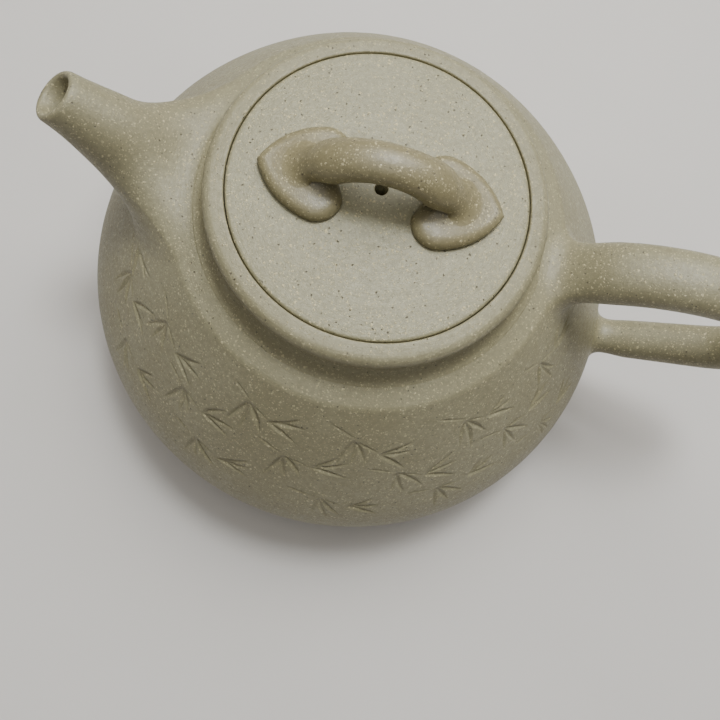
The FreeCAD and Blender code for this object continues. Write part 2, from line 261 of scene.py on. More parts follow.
class Spline:
    """A natural cubic curve through a few (place, size) pairs."""

    def __init__(self, places: Sequence[float], sizes: Sequence[float]) -> None:
        """Solve for the curve's bend at each place."""
        self.places = np.asarray(places, float)
        self.sizes = np.asarray(sizes, float)
        gaps = np.diff(self.places)
        count = len(places)
        matrix = np.eye(count)
        right = np.zeros(count)
        for here in range(1, count - 1):
            matrix[here, here - 1:here + 2] = gaps[here - 1], 2 * (gaps[here - 1] + gaps[here]), gaps[here]
            slopes = np.diff(self.sizes[here - 1:here + 2]) / gaps[here - 1:here + 1]
            right[here] = 6 * (slopes[1] - slopes[0])
        self.bends = np.linalg.solve(matrix, right)

    def at(self, place: float) -> float:
        """Give the size at a place."""
        here = int(np.clip(np.searchsorted(self.places, place) - 1, 0, len(self.places) - 2))
        left, right = self.places[here], self.places[here + 1]
        gap = right - left
        low, high = (right - place) / gap, (place - left) / gap
        bend = (low ** 3 - low) * self.bends[here] + (high ** 3 - high) * self.bends[here + 1]
        return float(low * self.sizes[here] + high * self.sizes[here + 1] + bend * gap ** 2 / 6)


@dataclass
class Root:
    """The flared foot of a limb, drawn out of the limb's skin until it lies flush on a surface."""

    surface: BVHTree
    foot: Vector
    normal: Vector
    reach: Callable[[float], float] = lambda angle: 0.0
    steps: int = 14
    leave: float = 0.5
    arrive: float = 0.5
    sink: float = 0.03
    tucks: tuple[Point, ...] = ((1.1, 0.30), (0.5, 0.06))

    def target(self, angle: float, outward: Vector) -> Vector:
        """Give a place near the surface where the flare's line at this angle is to land."""
        return self.foot + outward * self.reach(angle)

    def pulls(self, angle: float) -> tuple[float, float]:
        """Give the shares of its span that a line keeps the limb's way and hugs the surface."""
        return self.leave, self.arrive

    def rings(self, first: Ring, second: Ring) -> list[Ring]:
        """Draw the flare from the limb's first ring down to the surface.

        Args:
            first: The limb's ring nearest the surface.
            second: The ring after it, which gives the skin's direction.

        Returns:
            Rings from the surface up to, but without, the first ring.
        """
        centre = sum(first, Vector()) / len(first)
        curves = []
        tucked: list[Ring] = [[] for _ in self.tucks]
        for number, (start, above) in enumerate(zip(first, second)):
            angle = math.tau * number / len(first)
            outward = start - centre
            outward = (outward - self.normal * outward.dot(self.normal)).normalized()
            end, lie, _, _ = self.surface.find_nearest(self.target(angle, outward))
            away = end - self.foot
            away = (away - lie * away.dot(lie)).normalized()
            span = (end - start).length
            down = (start - above).normalized()
            leave, arrive = self.pulls(angle)
            leaving, arriving = start + down * span * leave, end - away * span * arrive
            curves.append((start, leaving, arriving, end - lie * self.sink))
            for ring, (beyond, under) in zip(tucked, self.tucks):
                ring.append(end + away * beyond - lie * (self.sink + under))
        made = tucked
        for step in range(self.steps, 0, -1):
            share = step / self.steps
            made.append([bezier(controls, share) for controls in curves])
        return made


def bezier(controls: Sequence[Vector], share: float) -> Vector:
    """Give the point at a share of a cubic curve's length."""
    rest = 1 - share
    start, leave, arrive, end = controls
    return (start * rest ** 3 + leave * 3 * rest ** 2 * share + arrive * 3 * rest * share ** 2
            + end * share ** 3)


def oval_ring(centre: Vector, across: Vector, side: Vector, count: int, square: float = 2.0) -> Ring:
    """Lay a ring of points on an oval.

    Args:
        centre: The ring's centre.
        across: The half axis where the ring starts.
        side: The half axis a quarter turn on.
        count: How many points.
        square: 2 for an ellipse, more for a boxier oval.

    Returns:
        The ring.
    """
    ring = []
    for number in range(count):
        angle = math.tau * number / count
        one, two = math.cos(angle), math.sin(angle)
        one = math.copysign(abs(one) ** (2 / square), one)
        two = math.copysign(abs(two) ** (2 / square), two)
        ring.append(centre + across * one + side * two)
    return ring


# Node helpers
class Graph:
    """A node tree with short calls for adding and joining nodes."""

    def __init__(self, tree: bpy.types.NodeTree) -> None:
        """Hold the tree."""
        self.tree = tree

    def put(self, kind: str, settings: Optional[dict] = None, **inputs: object) -> bpy.types.Node:
        """Add a node.

        Args:
            kind: The node's type without "ShaderNode".
            settings: Properties of the node itself.
            inputs: Sockets by name, with spaces as underscores, each a value or another node's socket.

        Returns:
            The node.
        """
        node = self.tree.nodes.new("ShaderNode" + kind)
        for key, value in (settings or {}).items():
            setattr(node, key, value)
        for key, value in inputs.items():
            self.feed(node.inputs[key.replace("_", " ")], value)
        return node

    def feed(self, socket: bpy.types.NodeSocket, value: object) -> None:
        """Link a socket to another, or set its value."""
        if isinstance(value, bpy.types.NodeSocket):
            self.tree.links.new(value, socket)
        else:
            socket.default_value = value

    def maths(self, operation: str, *values: object) -> bpy.types.NodeSocket:
        """Add a Math node and give its result."""
        node = self.put("Math", {"operation": operation})
        for socket, value in zip(node.inputs, values):
            self.feed(socket, value)
        return node.outputs[0]

    def ramp(self, value: object, low: float, high: float, out_low: float = 0.0,
             out_high: float = 1.0) -> bpy.types.NodeSocket:
        """Map a value smoothly from one range to another."""
        node = self.put("MapRange", {"interpolation_type": "SMOOTHSTEP"}, Value=value)
        for key, number in zip(("From Min", "From Max", "To Min", "To Max"), (low, high, out_low, out_high)):
            node.inputs[key].default_value = number
        return node.outputs["Result"]

    def blend(self, share: object, first: object, second: object) -> bpy.types.NodeSocket:
        """Mix two colours and give the result."""
        node = self.put("Mix", {"data_type": "RGBA"})
        self.feed(node.inputs[0], share)
        for socket, value in ((node.inputs[6], first), (node.inputs[7], second)):
            self.feed(socket, (*value, 1.0) if isinstance(value, tuple) else value)
        return node.outputs[2]


class Effect:
    """A shader node group that is made once and placed in each material that uses it."""

    name = "effect"
    inputs: dict[str, float] = {}
    outputs: tuple[str, ...] = ()

    def group(self) -> bpy.types.NodeTree:
        """Make the group, or give the one that is there."""
        if self.name in bpy.data.node_groups:
            return bpy.data.node_groups[self.name]
        tree = bpy.data.node_groups.new(self.name, "ShaderNodeTree")
        tree.interface.new_socket("Place", in_out="INPUT", socket_type="NodeSocketVector")
        for key, value in self.inputs.items():
            socket = tree.interface.new_socket(key, in_out="INPUT", socket_type="NodeSocketFloat")
            socket.default_value = value
        for key in self.outputs:
            tree.interface.new_socket(key, in_out="OUTPUT", socket_type="NodeSocketFloat")
        given = tree.nodes.new("NodeGroupInput")
        taken = tree.nodes.new("NodeGroupOutput")
        self.wire(Graph(tree), given.outputs, taken.inputs)
        return tree

    def wire(self, graph: Graph, given: bpy.types.NodeOutputs, taken: bpy.types.NodeInputs) -> None:
        """Join the group's inputs to its outputs."""
        raise NotImplementedError

    def place(self, graph: Graph, where: bpy.types.NodeSocket, **values: float) -> bpy.types.NodeOutputs:
        """Put the group in a material and give its outputs."""
        node = graph.tree.nodes.new("ShaderNodeGroup")
        node.node_tree = self.group()
        graph.feed(node.inputs["Place"], where)
        for key, value in values.items():
            node.inputs[key].default_value = value
        return node.outputs


class Sand(Effect):
    """Grains of fired sand in the clay: each cell may hold one grain of its own size."""

    name = "sand"
    inputs = {"Cell": 1.0, "Grain": 0.3, "Share": 0.5, "Ragged": 0.4}
    outputs = ("Mask", "Dome")

    def wire(self, graph: Graph, given: bpy.types.NodeOutputs, taken: bpy.types.NodeInputs) -> None:
        """Keep a cell's grain where its own random number is under the share."""
        scale = graph.maths("DIVIDE", 1.0, given["Cell"])
        ragged = graph.put("TexNoise", Vector=given["Place"], Detail=2.0,
                           Scale=graph.maths("MULTIPLY", scale, 2.6))
        shove = graph.put("VectorMath", {"operation": "MULTIPLY_ADD"}, Vector=ragged.outputs["Color"])
        graph.feed(shove.inputs[1], given["Ragged"])
        graph.feed(shove.inputs[2], given["Place"])
        cells = graph.put("TexVoronoi", {"feature": "F1"}, Vector=shove.outputs[0], Scale=scale)
        draws = graph.put("SeparateColor", Color=cells.outputs["Color"])
        size = graph.ramp(draws.outputs["Red"], 0.0, 1.0, 0.45, 1.0)
        radius = graph.maths("MULTIPLY", given["Grain"], size)
        inside = graph.maths("DIVIDE", graph.maths("SUBTRACT", radius, cells.outputs["Distance"]), radius)
        kept = graph.maths("LESS_THAN", draws.outputs["Green"], given["Share"])
        graph.feed(taken["Mask"], graph.maths("MULTIPLY", graph.ramp(inside, 0.0, 0.35), kept))
        graph.feed(taken["Dome"], graph.maths("MULTIPLY", graph.ramp(inside, 0.0, 1.0), kept))


class KilnTone(Effect):
    """Slow changes of tone from the kiln and from handling, with a finer mottle on top."""

    name = "kiln_tone"
    inputs = {"Spread": 18.0}
    outputs = ("Cloud", "Mottle")

    def wire(self, graph: Graph, given: bpy.types.NodeOutputs, taken: bpy.types.NodeInputs) -> None:
        """Use a broad noise for the cloud and a close one for the mottle."""
        broad = graph.put("TexNoise", Vector=given["Place"], Detail=3.0, Roughness=0.55,
                          Scale=graph.maths("DIVIDE", 1.0, given["Spread"]))
        close = graph.put("TexNoise", Vector=given["Place"], Scale=1.3, Detail=5.0, Roughness=0.66)
        graph.feed(taken["Cloud"], graph.ramp(broad.outputs["Fac"], 0.32, 0.68))
        graph.feed(taken["Mottle"], graph.ramp(close.outputs["Fac"], 0.3, 0.7))


class Burnish(Effect):
    """Faint tool marks that run round the pot, left by the horn burnisher."""

    name = "burnish"
    inputs = {"Pitch": 0.35}
    outputs = ("Stroke",)

    def wire(self, graph: Graph, given: bpy.types.NodeOutputs, taken: bpy.types.NodeInputs) -> None:
        """Read a noise on (radius, height) and a little of the bearing, so that it streaks round."""
        place = graph.put("SeparateXYZ", Vector=given["Place"])
        flat = graph.put("CombineXYZ", X=place.outputs["X"], Y=place.outputs["Y"])
        radius = graph.put("VectorMath", {"operation": "LENGTH"}, Vector=flat.outputs[0])
        ring = graph.put("CombineXYZ", X=radius.outputs["Value"], Y=place.outputs["Z"],
                         Z=graph.maths("MULTIPLY", place.outputs["X"], 0.06))
        streak = graph.put("TexNoise", Vector=ring.outputs[0], Detail=2.0, Roughness=0.5,
                           Scale=graph.maths("DIVIDE", 1.0, given["Pitch"]))
        graph.feed(taken["Stroke"], streak.outputs["Fac"])


class WearAndHollowShade(Effect):
    """Masks for the proud edges, which fingers and cloths reach and wear, and for the hollows, which are
    darkened as painted shade.
    """

    name = "wear_and_hollow_shade"
    inputs = {"Reach": 1.0}
    outputs = ("Proud", "Corner")

    def wire(self, graph: Graph, given: bpy.types.NodeOutputs, taken: bpy.types.NodeInputs) -> None:
        """Break the surface's own convexity up with a noise."""
        shape = graph.put("NewGeometry")
        noise = graph.put("TexNoise", Vector=given["Place"], Scale=0.35, Detail=3.0)
        uneven = graph.ramp(noise.outputs["Fac"], 0.35, 0.65, 0.35, 1.0)
        proud = graph.ramp(shape.outputs["Pointiness"], 0.515, 0.60)
        # Concave places: the colour darkens them as painted shade in the hollows.
        corner = graph.ramp(shape.outputs["Pointiness"], 0.485, 0.41)
        proud = graph.maths("MULTIPLY", proud, uneven)
        graph.feed(taken["Proud"], graph.maths("MULTIPLY", proud, given["Reach"]))
        graph.feed(taken["Corner"], graph.maths("MULTIPLY", corner, given["Reach"]))


# Finishes
@dataclass(frozen=True)
class SandyClay:
    """Unglazed stoneware full of pale sand. Colours are linear."""

    name: str
    clay: Colour
    cloud: Colour
    roughness: float = 0.5
    pale: Colour = (0.70, 0.60, 0.34)
    dark: Colour = (0.055, 0.042, 0.028)
    pale_share: float = 0.62
    dark_share: float = 0.42
    relief: float = 0.105
    worn: float = 1.0
    specular: float = 0.5
    grain_strength: float = 1.0
    cloud_amount: float = 0.75
    mottle_amount: float = 0.50
    fine_amount: float = 0.40
    coarse_amount: float = 0.55
    speck_amount: float = 0.75
    proud_amount: float = 0.38
    # How strongly the hollows are darkened as painted shade.
    hollow_shade_amount: float = 0.45

    def make(self) -> bpy.types.Material:
        """Make the material.

        Returns:
            The material, made once and then found by its name.
        """
        if self.name in bpy.data.materials:
            return bpy.data.materials[self.name]
        material = bpy.data.materials.new(self.name)
        material.use_nodes = True
        graph = Graph(material.node_tree)
        shader = material.node_tree.nodes["Principled BSDF"]
        place = graph.put("Mapping", Vector=graph.put("TexCoord").outputs["Object"],
                          Scale=(1 / MM, 1 / MM, 1 / MM)).outputs[0]
        tone = KilnTone().place(graph, place)
        coarse = Sand().place(graph, place, Cell=0.78, Grain=0.34, Share=self.pale_share, Ragged=0.65)
        fine = Sand().place(graph, place, Cell=0.42, Grain=0.40, Share=0.80, Ragged=0.36)
        shifted = graph.put("Mapping", Vector=place, Location=(7.3, 3.1, 5.7)).outputs[0]
        specks = Sand().place(graph, shifted, Cell=0.80, Grain=0.25, Share=self.dark_share, Ragged=0.45)
        strokes = Burnish().place(graph, place)
        wear_and_shade = WearAndHollowShade().place(graph, place, Reach=self.worn)
        colour = self.colour(graph, tone, coarse, fine, specks, wear_and_shade)
        graph.feed(shader.inputs["Base Color"], colour)
        graph.feed(shader.inputs["Roughness"], self.gloss(graph, tone, coarse, strokes, wear_and_shade))
        graph.feed(shader.inputs["Normal"], self.bumps(graph, place, coarse, fine, specks, strokes))
        shader.inputs["Specular IOR Level"].default_value = self.specular
        return material

    def colour(self, graph: Graph, tone: bpy.types.NodeOutputs, coarse: bpy.types.NodeOutputs,
               fine: bpy.types.NodeOutputs, specks: bpy.types.NodeOutputs,
               wear_and_shade: bpy.types.NodeOutputs) -> bpy.types.NodeSocket:
        """Lay the clouds, the sand, the dark specks, the wear on proud edges and painted shade in the
        hollows over the clay's own colour.
        """
        layers = (
            (tone["Cloud"], self.cloud_amount, self.cloud),
            (tone["Mottle"], self.mottle_amount, self.tinted(0.62)),
            (fine["Mask"], self.fine_amount * self.grain_strength, self.pale),
            (coarse["Mask"], self.coarse_amount * self.grain_strength, self.pale),
            (specks["Mask"], self.speck_amount, self.dark),
            (wear_and_shade["Proud"], self.proud_amount, self.tinted(1.45)),
            # Painted shade: hollows darkened towards 0.45 of the clay's colour.
            (wear_and_shade["Corner"], self.hollow_shade_amount, self.tinted(0.45)),
        )
        ground: object = self.clay
        for mask, amount, colour in layers:
            ground = graph.blend(graph.maths("MULTIPLY", mask, amount), ground, colour)
        return ground

    def tinted(self, share: float) -> Colour:
        """Give the clay's colour made lighter or darker."""
        return tuple(channel * share for channel in self.clay)

    def gloss(self, graph: Graph, tone: bpy.types.NodeOutputs, coarse: bpy.types.NodeOutputs,
              strokes: bpy.types.NodeOutputs, wear_and_shade: bpy.types.NodeOutputs) -> bpy.types.NodeSocket:
        """Make burnished places and worn proud edges smoother, and grains and hollows rougher."""
        level = graph.maths("ADD", self.roughness, graph.maths("MULTIPLY", tone["Mottle"], 0.10))
        level = graph.maths("ADD", level, graph.ramp(strokes["Stroke"], 0.3, 0.7, -0.04, 0.04))
        level = graph.maths("SUBTRACT", level, graph.maths("MULTIPLY", coarse["Mask"], 0.10))
        level = graph.maths("SUBTRACT", level, graph.maths("MULTIPLY", wear_and_shade["Proud"], 0.10))
        return graph.maths("ADD", level, graph.maths("MULTIPLY", wear_and_shade["Corner"], 0.12))

    def bumps(self, graph: Graph, place: bpy.types.NodeSocket, coarse: bpy.types.NodeOutputs,
              fine: bpy.types.NodeOutputs, specks: bpy.types.NodeOutputs,
              strokes: bpy.types.NodeOutputs) -> bpy.types.NodeSocket:
        """Raise the sand, sink the specks and add the clay's own tooth and the tool's strokes."""
        tooth = graph.put("TexNoise", Vector=place, Scale=3.2, Detail=5.0, Roughness=0.65)
        height = graph.maths("MULTIPLY", tooth.outputs["Fac"], 0.9)
        height = graph.maths("ADD", height, graph.maths("MULTIPLY", coarse["Dome"], 1.0))
        height = graph.maths("ADD", height, graph.maths("MULTIPLY", fine["Dome"], 0.45))
        height = graph.maths("SUBTRACT", height, graph.maths("MULTIPLY", specks["Dome"], 1.1))
        height = graph.maths("ADD", height, graph.maths("MULTIPLY", strokes["Stroke"], 0.35))
        bump = graph.put("Bump", Height=height, Strength=1.0, Distance=self.relief * MM)
        return bump.outputs["Normal"]


@dataclass(frozen=True)
class Backdrop:
    """A plain pale matt floor."""

    name: str = "pale_floor"
    colour: Colour = (0.64, 0.60, 0.55)

    def make(self) -> bpy.types.Material:
        """Make the floor's material, with a barely visible tooth."""
        material = bpy.data.materials.new(self.name)
        material.use_nodes = True
        graph = Graph(material.node_tree)
        shader = material.node_tree.nodes["Principled BSDF"]
        noise = graph.put("TexNoise", Vector=graph.put("TexCoord").outputs["Object"], Scale=40.0, Detail=4.0)
        darker = tuple(channel * 0.96 for channel in self.colour)
        graph.feed(shader.inputs["Base Color"], graph.blend(noise.outputs["Fac"], self.colour, darker))
        shader.inputs["Roughness"].default_value = 0.7
        shader.inputs["Specular IOR Level"].default_value = 0.2
        return material


OUTSIDE = SandyClay("sandy_belly", (0.270, 0.240, 0.136), (0.314, 0.286, 0.176), roughness=0.43)
BAND = SandyClay("sandy_band", (0.275, 0.243, 0.136), (0.320, 0.289, 0.175), roughness=0.43)
SPOUT = SandyClay("sandy_spout", (0.262, 0.232, 0.131), (0.304, 0.276, 0.168), roughness=0.44, relief=0.080)
HANDLE = SandyClay("sandy_handle", (0.264, 0.233, 0.130), (0.308, 0.280, 0.168), roughness=0.38,
                   relief=0.075)
LID = SandyClay("sandy_lid", (0.286, 0.256, 0.142), (0.328, 0.300, 0.182), roughness=0.37,
                grain_strength=1.5)
KNOB = SandyClay("sandy_knob", (0.236, 0.198, 0.102), (0.276, 0.240, 0.132), roughness=0.32,
                 pale_share=0.50, relief=0.045)
INSIDE = SandyClay("sandy_inside", (0.200, 0.152, 0.085), (0.240, 0.195, 0.115), roughness=0.68, worn=0.4)
FOOT = SandyClay("sandy_foot", (0.300, 0.260, 0.152), (0.345, 0.308, 0.198), roughness=0.62)


def dress(piece: bpy.types.Object, finish: SandyClay, slot: str, body: Body, *nodes: str) -> None:
    """Give a piece its finish and body, and hide the CAD nodes it stands for.

    Args:
        piece: The piece.
        finish: Its clay.
        slot: Not used.
        body: The body it rides on.
        nodes: The CAD nodes that it replaces.
    """
    piece.data.materials.clear()
    piece.data.materials.append(finish.make())
    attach(piece, body.value)
    if nodes:
        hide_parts(*nodes)
    LOG.info("%s: %d faces, %s", piece.name, len(piece.data.polygons), body.value)


def dress_node(node: str, finish: SandyClay) -> None:
    """Give a carried-over CAD node a better clay."""
    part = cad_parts[node]
    part.data.materials.clear()
    part.data.materials.append(finish.make())


# The pot
@dataclass
class Belly:
    """The beaten wall with the shoulder luted into its top, burnished to one skin."""

    wall: float = 3.0
    lower_curve: float = 15.5
    middle_curve: float = 24.6
    middle_turn: float = 30.0
    upper_curve: float = 142.0
    edge_radius: float = 34.4
    edge_height: float = 51.9
    edge_round: float = 0.8
    shoulder_fall: float = 0.37
    mouth_radius: float = 22.0
    belly_height: float = 17.5
    belly_radius: float = field(init=False)
    floor: float = field(init=False)

    def __post_init__(self) -> None:
        """Read the widest radius and the base's height from the frame."""
        low, high = node_box("belly_wall")
        self.belly_radius = high.x
        self.floor = low.z

    def shoulder_at(self, radius: float) -> float:
        """Give the shoulder's height at a radius."""
        return self.edge_height + (self.edge_radius - radius) * self.shoulder_fall

    def middle_end(self, inset: float = 0.0) -> Point:
        """Give the end of the middle curve, moved in by the inset."""
        turn = math.radians(self.middle_turn)
        reach = self.middle_curve - inset
        return (self.belly_radius - self.middle_curve + reach * math.cos(turn),
                self.belly_height + reach * math.sin(turn))

    def section(self) -> list[Point]:
        """Draw the wall's closed half section, from the base up the outside and back down the inside."""
        base = self.belly_radius - self.lower_curve
        edge, rounding = self.edge_radius, self.edge_round
        below = (edge + rounding * 0.62, self.edge_height - rounding * 0.80)
        neck = self.mouth_radius + 0.4
        outline = Outline(base, self.floor)
        outline.bow(self.belly_radius, self.belly_height, self.lower_curve, 0.9)
        outline.bow(*self.middle_end(), self.middle_curve, 0.9)
        outline.bow(*below, self.upper_curve, 0.9)
        outline.ease((edge, self.edge_height), edge - rounding, self.shoulder_at(edge - rounding), 8)
        outline.line(neck, self.shoulder_at(neck), 1.0)
        outline.line(neck, self.shoulder_at(neck) - self.wall)
        outline.line(edge - 2.1, self.edge_height - self.wall, 2.0)
        outline.bow(*self.middle_end(self.wall), -(self.upper_curve - self.wall), 1.6)
        outline.bow(self.belly_radius - self.wall, self.belly_height, -(self.middle_curve - self.wall), 1.6)
        outline.bow(base, self.floor + self.wall, -(self.lower_curve - self.wall), 1.6)
        outline.line(base, self.floor, 1.5)
        return outline.points

    def build(self, spout: "Spout") -> bpy.types.Object:
        """Turn the wall, open it behind the spout and cut the bamboo into it.

        Args:
            spout: The spout, which says where its bore passes the wall.

        Returns:
            The wall.
        """
        piece = turned("belly_and_shoulder", self.section(), steps=320)
        cutter = spout.bore_cutter()
        apply_modifier(piece, "BOOLEAN", object=cutter, operation="DIFFERENCE", solver="EXACT")
        bpy.data.objects.remove(cutter)
        BambooCarving(self).cut(piece)
        return named(piece, "belly_and_shoulder", 60.0)

    def dress(self, piece: bpy.types.Object) -> None:
        """Clay outside and a darker, redder clay inside."""
        dress(piece, OUTSIDE, "outer_clay", Body.POT, "belly_wall", "shoulder_ring")
        piece.data.materials.append(INSIDE.make())
        for face in piece.data.polygons:
            flat = Vector((face.center.x, face.center.y, 0.0))
            outwards = face.normal.dot(flat.normalized()) if flat.length else 0.0
            under = face.normal.z < -0.5 and face.center.z > self.edge_height * MM * 0.5
            if (outwards < -0.15 and face.normal.z < 0.85) or under:
                face.material_index = 1


@dataclass
class Stroke:
    """One cut of the knife: where it starts on the wall, its way, length, width and bend."""

    bearing: float
    drop: float
    way: float
    length: float
    width: float
    bend: float = 0.0


@dataclass
class BambooCarving:
    """Sprigs of bamboo, cut with a bamboo knife into the wall below the shoulder."""

    belly: Belly
    depth: float = 0.42
    leaf_length: float = 6.8
    leaf_width: float = 1.25
    stem_width: float = 0.62
    wall_slope: float = 1.22
    margin: float = 0.60
    seed: int = 7
    first_bearing: float = -172.0
    last_bearing: float = -16.0

    def sprig(self, draw: random.Random, bearing: float, drop: float, way: float,
              joints: int) -> list[Stroke]:
        """Draw one sprig: a jointed stem with leaves that hang from its joints.

        Args:
            draw: The seeded random numbers.
            bearing: Where the stem starts, in degrees round the pot.
            drop: How far below the shoulder's edge it starts, in millimetres.
            way: The stem's way in degrees, 0 to the right and -90 down.
            joints: How many stem pieces it has.

        Returns:
            The strokes.
        """
        strokes = []
        radius = self.belly.belly_radius * 0.88
        for joint in range(joints):
            length = draw.uniform(5.4, 6.6)
            strokes.append(Stroke(bearing, drop, way, length - 0.5, self.stem_width, 0.02))
            angle = math.radians(way)
            bearing += math.degrees(length * math.cos(angle) / radius)
            drop -= length * math.sin(angle)
            leaves = 3 if joint % 2 == 0 else 2
            side = -1 if joint % 2 == 0 else 1
            for leaf in range(leaves):
                spread = way + side * (32 + 27 * leaf) + draw.uniform(-6, 6)
                strokes.append(Stroke(bearing, drop, spread, self.leaf_length * draw.uniform(0.8, 1.15),
                                      self.leaf_width * draw.uniform(0.85, 1.15), draw.uniform(-0.07, 0.07)))
            way += draw.uniform(-9, 9)
        strokes.append(Stroke(bearing, drop, way, self.leaf_length, self.leaf_width, 0.04))
        return strokes

    def strokes(self) -> list[Stroke]:
        """Spread the sprigs over the front of the wall, in three staggered rows."""
        draw = random.Random(self.seed)
        made: list[Stroke] = []
        for row, (drop, way) in enumerate(((4.5, -24.0), (13.0, -14.0), (22.0, -8.0))):
            bearing = self.first_bearing + row * 11.0
            while bearing < self.last_bearing - 14.0:
                made += self.sprig(draw, bearing, drop + draw.uniform(-1.0, 1.0),
                                   way + draw.uniform(-6, 6), 2)
                bearing += draw.uniform(27.0, 31.0)
        return made

    def depths(self, places: np.ndarray) -> tuple[np.ndarray, np.ndarray]:
        """Measure how deep each place is cut.

        Args:
            places: Points on the wall, in millimetres.

        Returns:
            Each point's cut as a share of the full depth, and its distance from the nearest stroke.
        """
        radius = np.hypot(places[:, 0], places[:, 1])
        bearing = np.degrees(np.arctan2(places[:, 1], places[:, 0]))
        drop = (self.belly.edge_height - places[:, 2]) * self.wall_slope
        cut = np.zeros(len(places))
        nearest = np.full(len(places), 99.0)
        for stroke in self.strokes():
            across = np.radians(bearing - stroke.bearing) * radius
            up = stroke.drop - drop
            angle = math.radians(stroke.way)
            along = (across * math.cos(angle) + up * math.sin(angle)) / stroke.length
            inside = np.clip(along, 0.0, 1.0)
            off = up * math.cos(angle) - across * math.sin(angle)
            off -= stroke.bend * stroke.length * 4 * inside * (1 - inside)
            beyond = np.abs(along - inside) * stroke.length
            half = stroke.width / 2 * np.sin(math.pi * np.clip(inside, 0.02, 0.98) ** 0.62) ** 0.8
            distance = np.hypot(off, beyond)
            depth = np.clip(1 - distance / np.maximum(half, 0.05), 0.0, 1.0) * half / (self.leaf_width / 2)
            cut = np.maximum(cut, depth)
            nearest = np.minimum(nearest, distance - half)
        return np.clip(cut, 0.0, 1.0), nearest

    def cut(self, piece: bpy.types.Object) -> None:
        """Refine the wall round the strokes and press them in.

        Args:
            piece: The wall.
        """
        take(piece)
        bpy.ops.object.mode_set(mode="EDIT")
        bpy.ops.mesh.select_mode(type="FACE")
        bpy.ops.mesh.select_all(action="DESELECT")
        bpy.ops.object.mode_set(mode="OBJECT")
        mesh = piece.data
        centres = np.array([face.center for face in mesh.polygons]) / MM
        normals = np.array([face.normal for face in mesh.polygons])
        outside = (normals[:, :2] * centres[:, :2]).sum(axis=1) > 0
        _, nearest = self.depths(centres)
        for face, near, out in zip(mesh.polygons, nearest, outside):
            face.select = bool(near < self.margin and out)
        bpy.ops.object.mode_set(mode="EDIT")
        bpy.ops.mesh.subdivide(number_cuts=4, smoothness=0.0)
        bpy.ops.object.mode_set(mode="OBJECT")
        places = np.array([vert.co for vert in mesh.vertices]) / MM
        cut, _ = self.depths(places)
        cut[np.hypot(places[:, 0], places[:, 1]) < self.inner_radius(places[:, 2])] = 0.0
        group = piece.vertex_groups.new(name="knife_cuts")
        for number in np.nonzero(cut)[0]:
            group.add([int(number)], float(cut[number]), "REPLACE")
        apply_modifier(piece, "DISPLACE", strength=-self.depth * MM, mid_level=0.0,
                       vertex_group="knife_cuts")
        piece.vertex_groups.remove(piece.vertex_groups["knife_cuts"])

    def inner_radius(self, heights: np.ndarray) -> np.ndarray:
        """Give a radius in the middle of the wall at each height."""
        points = self.belly.section()
        outer = [point for point in points[:len(points) // 2] if point[1] <= self.belly.edge_height]
        ordered = sorted((up, across) for across, up in outer)
        outside = np.interp(heights, [up for up, _ in ordered], [across for _, across in ordered])
        return outside - self.belly.wall / 2


@dataclass
class Mouth:
    """The neck's ring with the lid's seat, and the rounded band that stands round the lid."""

    belly: Belly
    foot_radius: float = 30.4
    neck_radius: float = 28.2
    hollow: float = 4.2
    side: float = 0.9
    shoulder: float = 1.6
    round_over: float = 1.9
    pocket_edge: float = 0.38
    seat: float = field(init=False)
    rim: float = field(init=False)
    band_radius: float = field(init=False)
    pocket: float = 25.08

    def __post_init__(self) -> None:
        """Read the seat, the rim and the band's radius from the frame."""
        low, high = node_box("mouth_band")
        self.seat, self.rim, self.band_radius = low.z, high.z, high.x

    def neck(self) -> bpy.types.Object:
        """Turn the neck, hollowed outside so that it feathers out on the shoulder."""
        mouth, foot = self.belly.mouth_radius, self.foot_radius
        outline = Outline(mouth, self.belly.shoulder_at(mouth) - self.belly.wall)
        outline.line(mouth + 1.0, self.belly.shoulder_at(mouth + 1.0) - self.belly.wall)
        outline.line(foot + 0.5, self.belly.shoulder_at(foot + 0.5) - 0.35, 2.0)
        outline.line(foot + 0.35, self.belly.shoulder_at(foot + 0.35), 1.0)
        outline.bow(self.neck_radius, self.seat, -self.hollow, 0.3)
        outline.line(mouth + 0.3, self.seat, 1.0)
        outline.ease((mouth, self.seat), mouth, self.seat - 0.3, 4)
        outline.line(mouth, self.belly.shoulder_at(mouth) - self.belly.wall, 1.2)
        return turned("neck", outline.points, 288)

    def band(self) -> bpy.types.Object:
        """Turn the band round the lid."""
        edge = self.pocket_edge
        outline = Outline(self.pocket, self.seat)
        outline.line(self.neck_radius - 0.1, self.seat, 1.0)
        outline.ease((self.neck_radius + 0.15, self.seat), self.band_radius, self.seat + self.side, 6)
        outline.line(self.band_radius, self.rim - self.shoulder, 0.4)
        outline.bow(self.band_radius - 1.7, self.rim - 0.12, self.round_over, 0.2)
        outline.line(self.pocket + edge, self.rim, 0.4)
        outline.ease((self.pocket, self.rim), self.pocket, self.rim - edge, 5)
        outline.line(self.pocket, self.seat, 0.8)
        return turned("mouth_band_turned", outline.points, 288)

    def dress(self, neck: bpy.types.Object, band: bpy.types.Object) -> None:
        """Burnished clay on both."""
        dress(neck, BAND, "band_clay", Body.POT, "neck_ring")
        dress(band, BAND, "band_clay", Body.POT, "mouth_band")


